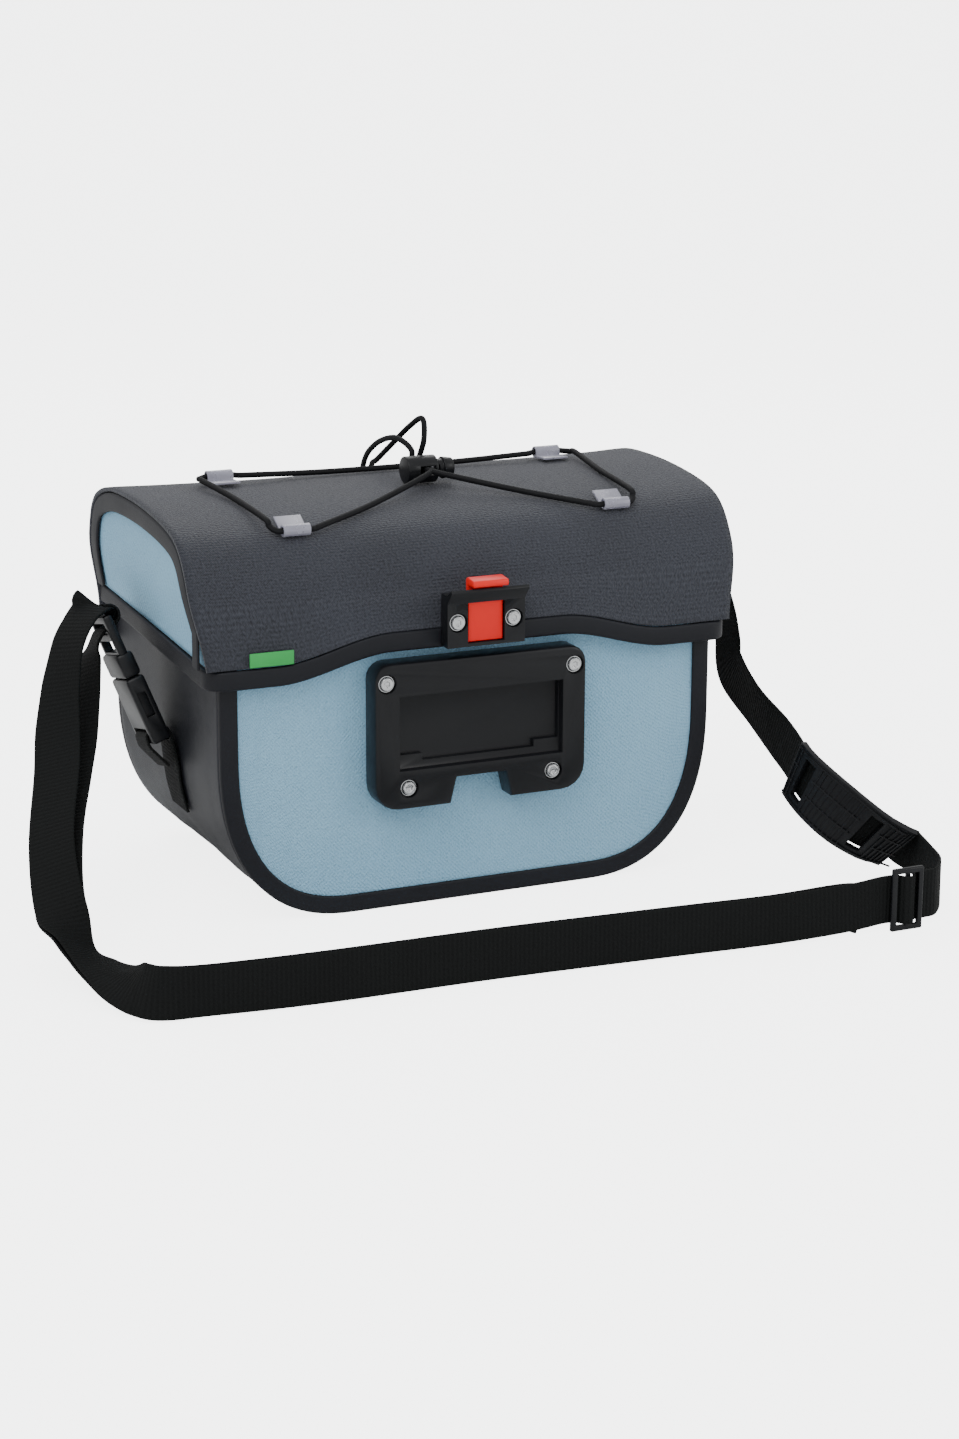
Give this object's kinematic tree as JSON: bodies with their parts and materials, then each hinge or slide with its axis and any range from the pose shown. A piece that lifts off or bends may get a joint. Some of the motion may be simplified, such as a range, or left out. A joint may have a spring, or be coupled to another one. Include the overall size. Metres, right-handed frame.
{
  "type": "bicycle handlebar bag",
  "caption": "Box-shaped handlebar bag with an arched lid, a mounting plate with a push latch, an elastic cord on the lid and a padded shoulder strap.",
  "frame": {"origin": "centre of the bag's base, on the floor", "axes": "-Z into the floor the bag stands on, -Y out of the panel with the mounting plate, +X to the right of someone who looks at that plate"},
  "size_m": [0.4206, 0.2849, 0.2167],
  "materials": {
    "light_blue_fabric": "light blue coated woven fabric",
    "dark_coated_fabric": "charcoal coated tarpaulin, slight sheen",
    "dark_twill_fabric": "charcoal fine twill weave, matt",
    "black_plastic": "black moulded nylon, satin",
    "red_plastic": "red moulded plastic, satin",
    "green_tape": "green woven tape, plain",
    "stainless_steel": "bright stainless steel",
    "black_webbing": "black ribbed webbing",
    "black_elastic": "black braided elastic cord",
    "pale_clear_plastic": "cloudy translucent plastic",
    "black_rubber": "black moulded rubber with a raised grid"
  },
  "bodies": {
    "bag": {"front_panel": "light_blue_fabric", "back_panel": "light_blue_fabric", "gusset": "dark_coated_fabric", "front_border": "dark_coated_fabric", "back_border": "dark_coated_fabric", "lid_top": "dark_twill_fabric", "lid_hem": "dark_coated_fabric", "lid_end_left": "light_blue_fabric", "lid_end_right": "light_blue_fabric", "lid_end_band_left": "dark_coated_fabric", "lid_end_band_right": "dark_coated_fabric", "mount_plate": "black_plastic", "plate_screw_upper_left": "stainless_steel", "plate_screw_upper_right": "stainless_steel", "plate_screw_lower_left": "stainless_steel", "plate_screw_lower_right": "stainless_steel", "lid_latch": "black_plastic", "latch_screw_left": "stainless_steel", "latch_screw_right": "stainless_steel", "tag": "green_tape", "elastic_cord": "black_elastic", "cord_knot": "black_elastic", "hook_front_left": "pale_clear_plastic", "hook_front_right": "pale_clear_plastic", "hook_back_left": "pale_clear_plastic", "hook_back_right": "pale_clear_plastic", "cord_lock": "black_plastic", "strap": "black_webbing", "strap_slider": "black_plastic", "shoulder_pad": "black_rubber", "buckle_socket_left": "black_plastic", "buckle_socket_right": "black_plastic", "buckle_plug_left": "black_plastic", "buckle_plug_right": "black_plastic", "buckle_anchor_left": "black_webbing", "buckle_anchor_right": "black_webbing"},
    "release": {"release": "red_plastic"},
    "lock_plunger": {"lock_plunger": "black_plastic"}
  },
  "joints": [
    {"name": "release_slide", "type": "slide", "parent": "bag", "child": "release", "axis": [0, 0, 1], "range_m": [0, 0.005], "stiffness_N_per_m": 400},
    {"name": "cord_lock_press", "type": "slide", "parent": "bag", "child": "lock_plunger", "axis": [-1, 0, 0], "range_m": [0, 0.003], "stiffness_N_per_m": 900}
  ]
}
